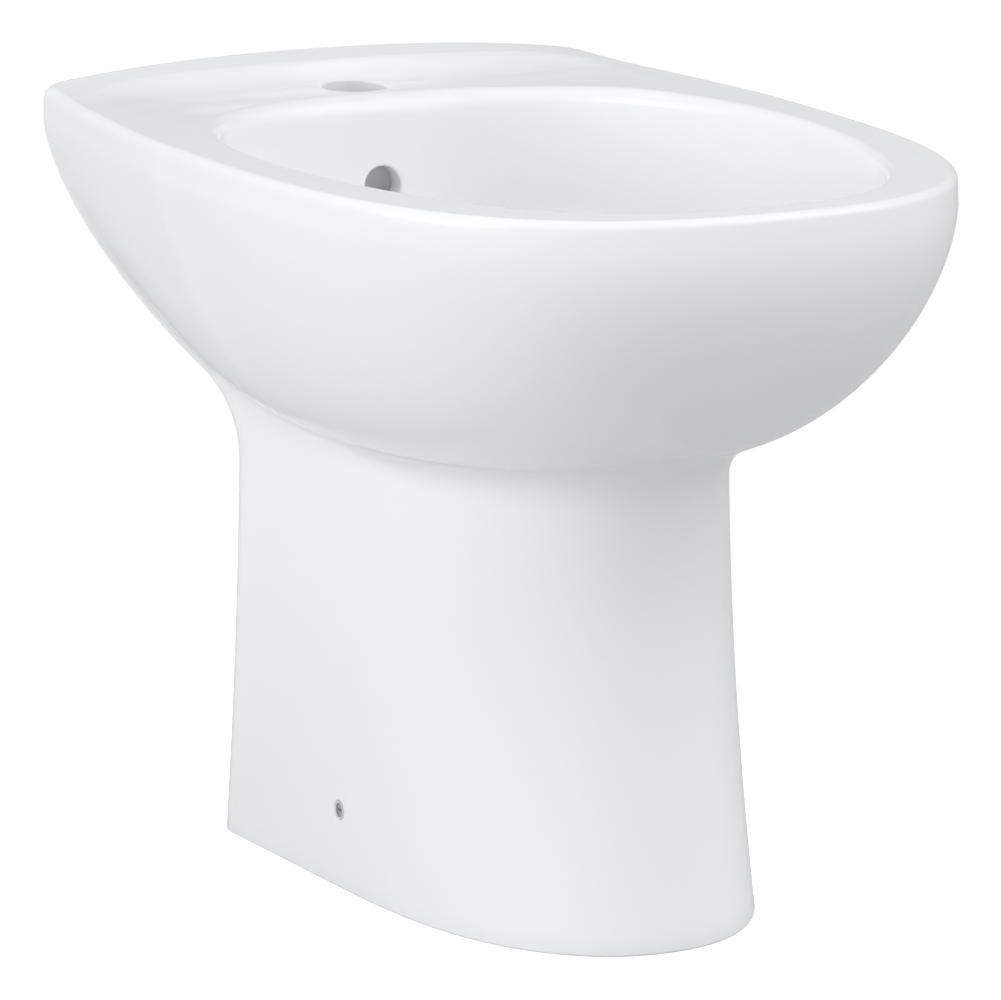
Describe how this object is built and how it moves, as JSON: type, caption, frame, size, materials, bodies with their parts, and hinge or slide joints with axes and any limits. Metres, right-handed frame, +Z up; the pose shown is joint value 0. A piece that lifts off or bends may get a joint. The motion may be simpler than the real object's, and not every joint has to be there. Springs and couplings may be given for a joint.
{
  "type": "floor standing bidet",
  "caption": "Floor standing ceramic bidet with one tap hole, an overflow, a push-open waste, a bottle trap and hidden floor fixings.",
  "frame": {"origin": "on the floor, under the middle of the body's width and length", "axes": "+X to the right seen from the front, +Y to the wall, +Z up"},
  "size_m": [0.36, 0.53, 0.4002],
  "materials": {
    "glazed_ceramic": "glossy white glaze",
    "chrome": "polished chrome plate on brass",
    "rubber": "matt black rubber",
    "white_plastic": "satin white moulded plastic",
    "grey_plastic": "satin light grey moulded plastic",
    "brass": "turned brass",
    "zinc_steel": "zinc-plated steel"
  },
  "bodies": {
    "bidet": {"ceramic_body": "glazed_ceramic", "waste_flange": "chrome", "flange_seal": "rubber", "plug_cartridge": "white_plastic", "plug_spring": "zinc_steel", "lower_washer": "rubber", "slip_ring": "white_plastic", "lock_nut": "brass", "inlet_nut": "chrome", "inlet_seal": "rubber", "dip_pipe": "chrome", "neck_nut": "chrome", "neck_seal": "rubber", "trap_body": "chrome", "cup_seal": "rubber", "trap_cup": "chrome", "outlet_nut": "chrome", "outlet_seal": "rubber", "outlet_pipe": "chrome", "wall_rosette": "chrome", "left_bracket": "zinc_steel", "right_bracket": "zinc_steel", "side_bushes": "grey_plastic", "side_screws": "zinc_steel", "bracket_nuts": "zinc_steel"},
    "plug": {"waste_plug": "chrome", "plug_seal": "rubber", "plug_stem": "brass"}
  },
  "joints": [
    {"name": "plug_lift", "type": "slide", "parent": "bidet", "child": "plug", "axis": [0, 0, 1], "range_m": [0, 0.0085], "deforming": ["plug_spring"]}
  ]
}
